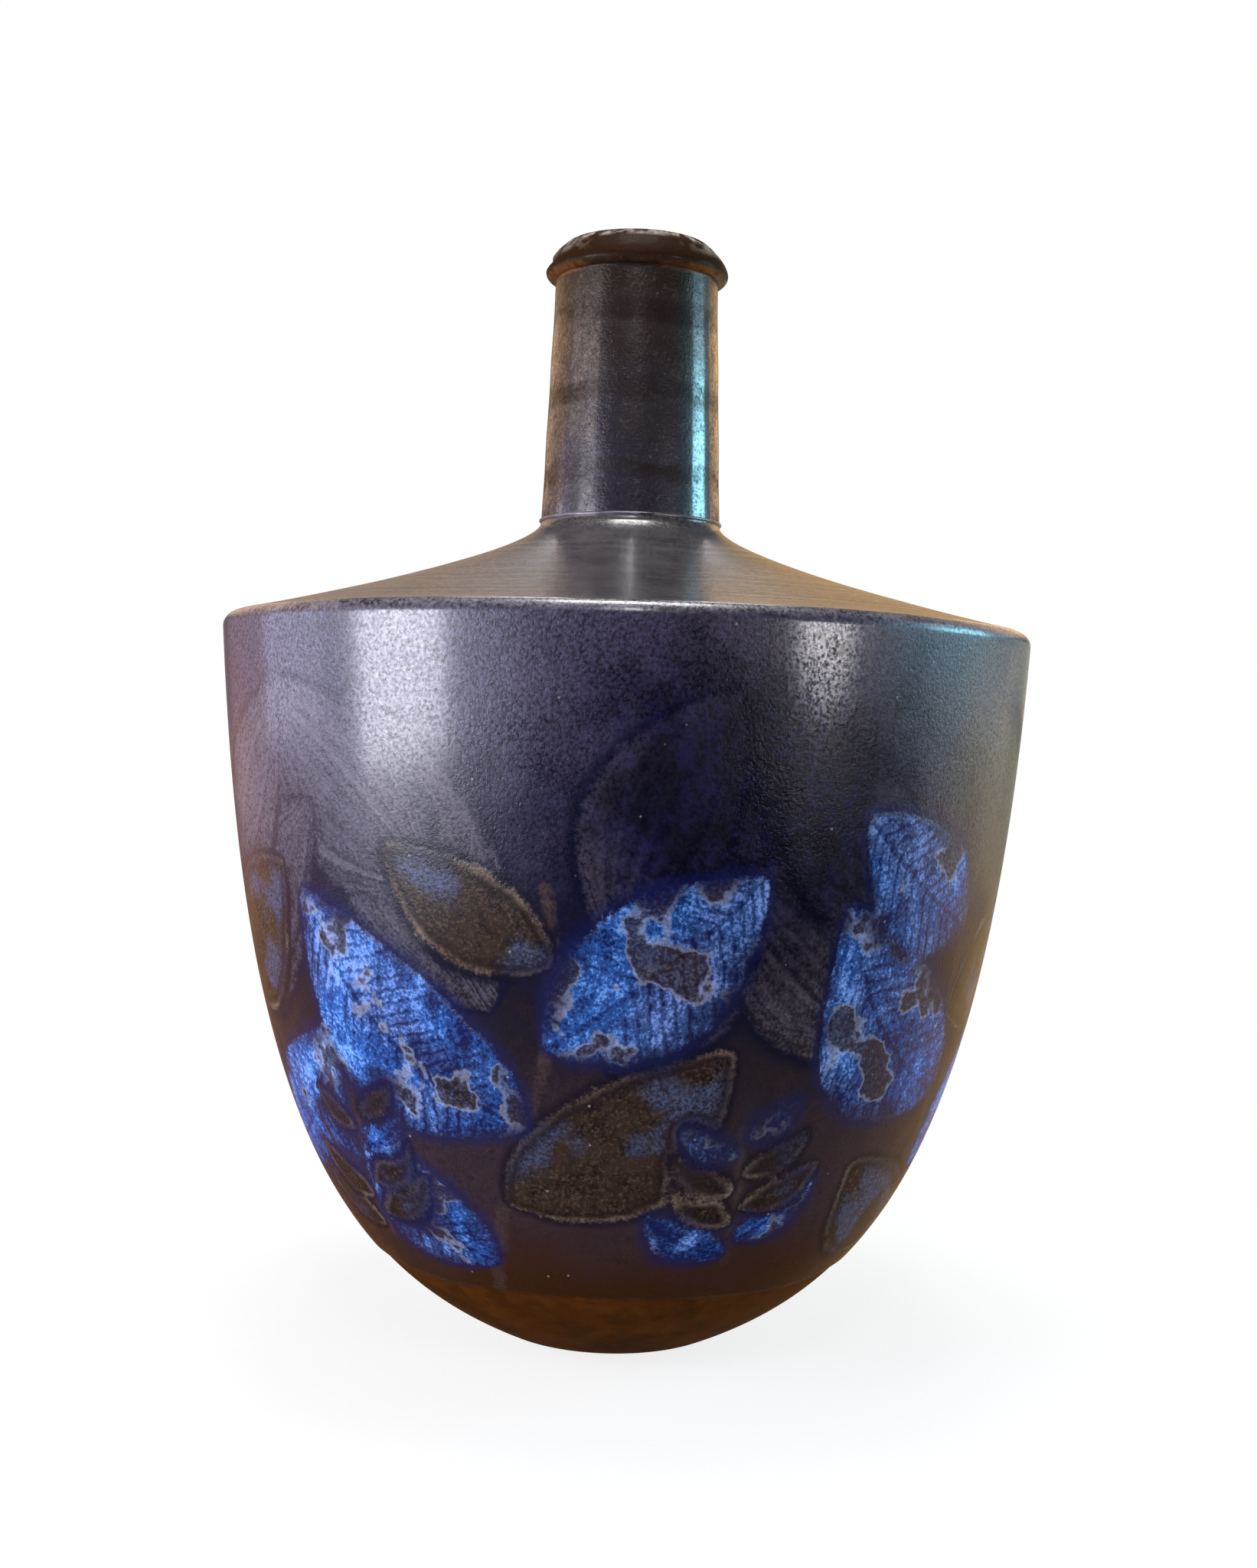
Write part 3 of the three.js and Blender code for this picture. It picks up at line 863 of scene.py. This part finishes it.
wideSides, slimSides = 420, 200
bowl = turnedPiece("bowlFine", bodyGlaze, bowlValues, bowlOutline, wideSides)
paintLeaves(bowl, sprayValues)
shoulder = turnedPiece("shoulderFine", bodyGlaze, shoulderValues, shoulderOutline, wideSides)
neck = turnedPiece("neckFine", neckGlaze, neckValues, neckOutline, slimSides)
lip = turnedPiece("lipFine", neckGlaze, lipValues, lipOutline, slimSides)
nickLip(lip, nickValues)
footRing = turnedPiece("footRingFine", bareClay, footValues, footOutline, slimSides)
shoulderSlip = turnedPiece(
    "shoulderSlipFine", bodyGlaze, shoulderSlipValues, slipOutline, wideSides)
neckSlip = turnedPiece("neckSlipFine", firedSlip, neckSlipValues, slipOutline, slimSides)
lipSlip = turnedPiece("lipSlipFine", neckGlaze, lipSlipValues, slipOutline, slimSides)

for piece, node, slot in (
    (bowl, "bowl", "body_glaze"), (shoulder, "shoulder", "body_glaze"),
    (neck, "neck", "neck_glaze"), (lip, "lip", "neck_glaze"),
    (footRing, "foot_ring", "bare_clay"), (shoulderSlip, "shoulder_slip", "slip"),
    (neckSlip, "neck_slip", "slip"), (lipSlip, "lip_slip", "slip"),
):
    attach(piece, "root")
    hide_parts(node)
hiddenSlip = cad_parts["foot_slip"].data.materials
hiddenSlip.clear()
hiddenSlip.append(firedSlip)
print("pieces placed")


# Studio: white paper that fills the picture, a brown table round it, soft boxes, camera

white = (1, 1, 1)
studioValues = {
    "paper": paint(243, 243, 242), "paperRoughness": 0.7, "paperLift": 0.82,
    "paperNear": (0.15, -0.17), "paperFar": (2.5, 6.0), "paperTall": 2.8, "shadowFade": (0.1, 0.32),
    "table": paint(190, 126, 76), "tableRoughness": 0.6, "tableLift": 1.0,
    "tableHalf": 7.0, "tableDrop": 1 * mm,
    "world": (0.11, 0.1, 0.09), "worldMirrored": (0.06, 0.06, 0.075),
    "roomFront": (0.03, 0.035, 0.055),
    "leftBack": (0.42, 0.3, 0.22), "rightBack": (0.62, 0.39, 0.18),
    "leftNear": (0.42, 0.2, 0.1), "leftFar": (0.36, 0.18, 0.12),
    "rightNear": (0.75, 0.46, 0.22), "rightFar": (0.52, 0.48, 0.32),
    "nearToFar": (0.3, 1.4), "leftToRight": (-0.1, 0.1), "frontToBack": (-0.12, 0.06),
    "floorToWall": (0.01, 0.1), "wallAcross": (-0.5, 0.5),
}


def rays(w, kind):
    return w.node("ShaderNodeLightPath", output=f"Is {kind} Ray")


def mirrorRays(w):
    return (rays(w, "Glossy") + rays(w, "Transmission")).least(1)


def roomColour(w, place, v):  # mirrored in the glaze: dark front, red-brown left, tan right
    across, back, up = (place.axis(number) for number in range(3))
    away = place.length().rise(*v["nearToFar"])
    left = w.mix(away, v["leftNear"], v["leftFar"])
    right = w.mix(away, v["rightNear"], v["rightFar"])
    sides = w.mix(across.rise(*v["leftToRight"]), left, right)
    floor = w.mix(back.rise(*v["frontToBack"]), v["roomFront"], sides)
    wall = w.mix(across.rise(*v["wallAcross"]), v["leftBack"], v["rightBack"])
    return w.mix(up.rise(*v["floorToWall"]), floor, wall)


def stageFinish(name, colour, roughness, lift, v):  # lights the vase, but looks white
    finish, w, place = newFinish(name)
    away, mirror = place.length().rise(*v["shadowFade"]), mirrorRays(w)
    lifted = lift + (1 - lift) * away  # less than 1 near the vase, where the shadow stays
    plain = w.node("ShaderNodeBsdfPrincipled", inputs={
        "Base Color": colour, "Roughness": roughness})
    seen = w.node("ShaderNodeEmission", inputs={
        "Color": w.mix(mirror, white, roomColour(w, place, v)), "Strength": 1.0})
    share = (rays(w, "Camera") * lifted + mirror).least(1)
    mixed = w.node("ShaderNodeMixShader", inputs={0: share, 1: plain, 2: seen})
    w.node("ShaderNodeOutputMaterial", inputs={"Surface": mixed})
    return finish


def stagePiece(name, corners, faces, finish):
    mesh = bpy.data.meshes.new(name)
    mesh.from_pydata(corners, [], faces)
    mesh.materials.append(finish)
    made = bpy.data.objects.new(name, mesh)
    bpy.context.scene.collection.objects.link(made)


def makeStage(v):
    half, under = v["tableHalf"], -v["tableDrop"]
    tableCorners = [(x * half, y * half, under) for x, y in ((-1, -1), (1, -1), (1, 1), (-1, 1))]
    tableFinish = stageFinish("brownTable", v["table"], v["tableRoughness"], v["tableLift"], v)
    stagePiece("table", tableCorners, [(0, 1, 2, 3)], tableFinish)
    (near, front), (far, back), tall = v["paperNear"], v["paperFar"], v["paperTall"]
    paperCorners = [(-near, front, 0), (near, front, 0), (far, back, 0), (-far, back, 0),
                    (far, back, tall), (-far, back, tall)]
    paperFinish = stageFinish("whitePaper", v["paper"], v["paperRoughness"], v["paperLift"], v)
    stagePiece("paper", paperCorners, [(0, 1, 2, 3), (3, 2, 4, 5)], paperFinish)
    world = bpy.data.worlds.new("room")
    bpy.context.scene.world = world
    world.use_nodes = True
    world.node_tree.nodes.clear()
    w = Wire(world.node_tree)
    seen = w.mix(rays(w, "Camera"), v["world"], white)
    seen = w.mix(mirrorRays(w), seen, v["worldMirrored"])
    room = w.node("ShaderNodeBackground", inputs={"Color": seen, "Strength": 1.0})
    w.node("ShaderNodeOutputWorld", inputs={"Surface": room})


makeStage(studioValues)

# Place, what it faces, width, height, brightness of its face, colour
lampValues = {
    "windowLeft": ((-0.391, -0.258, 0.167), (-0.045, -0.083, 0.15),
                   0.205, 0.205, 15.2, (0.87, 0.88, 1.0)),
    "windowEdge": ((-0.55, 0.05, 0.19), (-0.06, -0.07, 0.15), 0.26, 0.2, 2.7, (0.7, 0.72, 1.0)),
    "windowFront": ((-0.3, -0.42, 0.15), (-0.03, -0.09, 0.14), 0.2, 0.24, 1.0, (0.7, 0.73, 1.0)),
    "windowHigh": ((-0.45, -0.15, 0.38), (0, 0, 0.23), 0.4, 0.16, 1.1, (1.0, 0.8, 0.7)),
    "windowRight": ((0.361, -0.318, 0.155), (0.038, -0.086, 0.15),
                    0.125, 0.1, 16.0, (1.0, 0.97, 1.0)),
    "wallLeft": ((-0.6, 0.42, 0.12), (0, 0, 0.1), 0.45, 0.3, 0.4, (1.0, 0.56, 0.48)),
    "wallRight": ((0.62, 0.3, 0.09), (0, 0, 0.06), 0.4, 0.18, 0.45, (1.0, 0.84, 0.64)),
    "wallBack": ((0.55, 0.78, 0.205), (0.09, 0, 0.15), 0.6, 0.1, 0.4, (0.92, 1.0, 0.76)),
    "shelfLeft": ((-0.55, 0.4, 0.45), (0, 0, 0.2), 0.8, 0.3, 0.75, (1.0, 0.62, 0.34)),
    "shelfRight": ((0.5, 0.6, 0.46), (0, 0, 0.2), 0.5, 0.3, 1.0, (1.0, 0.62, 0.3)),
    "stripRight": ((0.595, 0.075, 0.285), (0, 0, 0.22), 0.24, 0.15, 11.6, (0.34, 0.82, 1.0)),
    "stripHigh": ((0.595, 0.075, 0.44), (0, 0, 0.23), 0.24, 0.15, 2.5, (0.5, 0.82, 1.0)),
    "ceilingFront": ((-0.11, -0.75, 0.74), (0, 0, 0.2), 0.12, 0.3, 3.0, (0.84, 0.86, 1.0)),
    "ceilingLine": ((0.02, -0.75, 0.74), (0, 0, 0.2), 0.07, 0.3, 20.0, (1.0, 1.0, 1.0)),
    "overhead": ((0.0, 0.0, 1.4), (0, 0.02, 0), 0.5, 0.5, 14.0, (1.0, 0.99, 0.97)),
    "backFill": ((0.0, 1.2, 1.3), (0, 0, 0.1), 0.6, 0.6, 2.0, (1.0, 0.99, 0.97)),
}
roundLamps = ("windowRight",)


def makeLamp(name, place, target, wide, tall, bright, colour):
    isRound = name in roundLamps
    lamp = bpy.data.lights.new(name, "AREA")
    lamp.shape = "ELLIPSE" if isRound else "RECTANGLE"
    lamp.size, lamp.size_y = wide, tall
    lamp.energy = 4 * wide * tall * bright * (math.pi / 4 if isRound else 1)
    lamp.color = colour
    holder = bpy.data.objects.new(name, lamp)
    bpy.context.scene.collection.objects.link(holder)
    holder.location = place
    holder.rotation_euler = (Vector(target) - Vector(place)).to_track_quat("-Z", "Y").to_euler()
    holder.visible_camera = False


for name, values in lampValues.items():
    makeLamp(name, *values)

cameraValues = {
    "place": (0.0, -443 * mm, 141.3 * mm), "pitch": -0.023, "yaw": 0.003, "roll": 0.028,
    "lens": 42.19, "sensor": 36, "clip": (0.01, 50),
}


def makeCamera(v):
    data = bpy.data.cameras.new("photoCamera")
    data.lens, data.sensor_width = v["lens"], v["sensor"]
    data.clip_start, data.clip_end = v["clip"]
    camera = bpy.data.objects.new("photoCamera", data)
    bpy.context.scene.collection.objects.link(camera)
    ahead = math.cos(v["pitch"])
    forward = Vector((math.sin(v["yaw"]) * ahead, math.cos(v["yaw"]) * ahead, math.sin(v["pitch"])))
    level = Vector((math.cos(v["yaw"]), -math.sin(v["yaw"]), 0))
    upright = level.cross(forward)
    right = level * math.cos(v["roll"]) + upright * math.sin(v["roll"])
    up = upright * math.cos(v["roll"]) - level * math.sin(v["roll"])
    turned = Matrix((right, up, -forward)).transposed().to_4x4()
    camera.matrix_world = Matrix.Translation(v["place"]) @ turned
    bpy.context.scene.camera = camera


makeCamera(cameraValues)
bpy.context.scene.view_settings.view_transform = "Standard"
print("studio set")
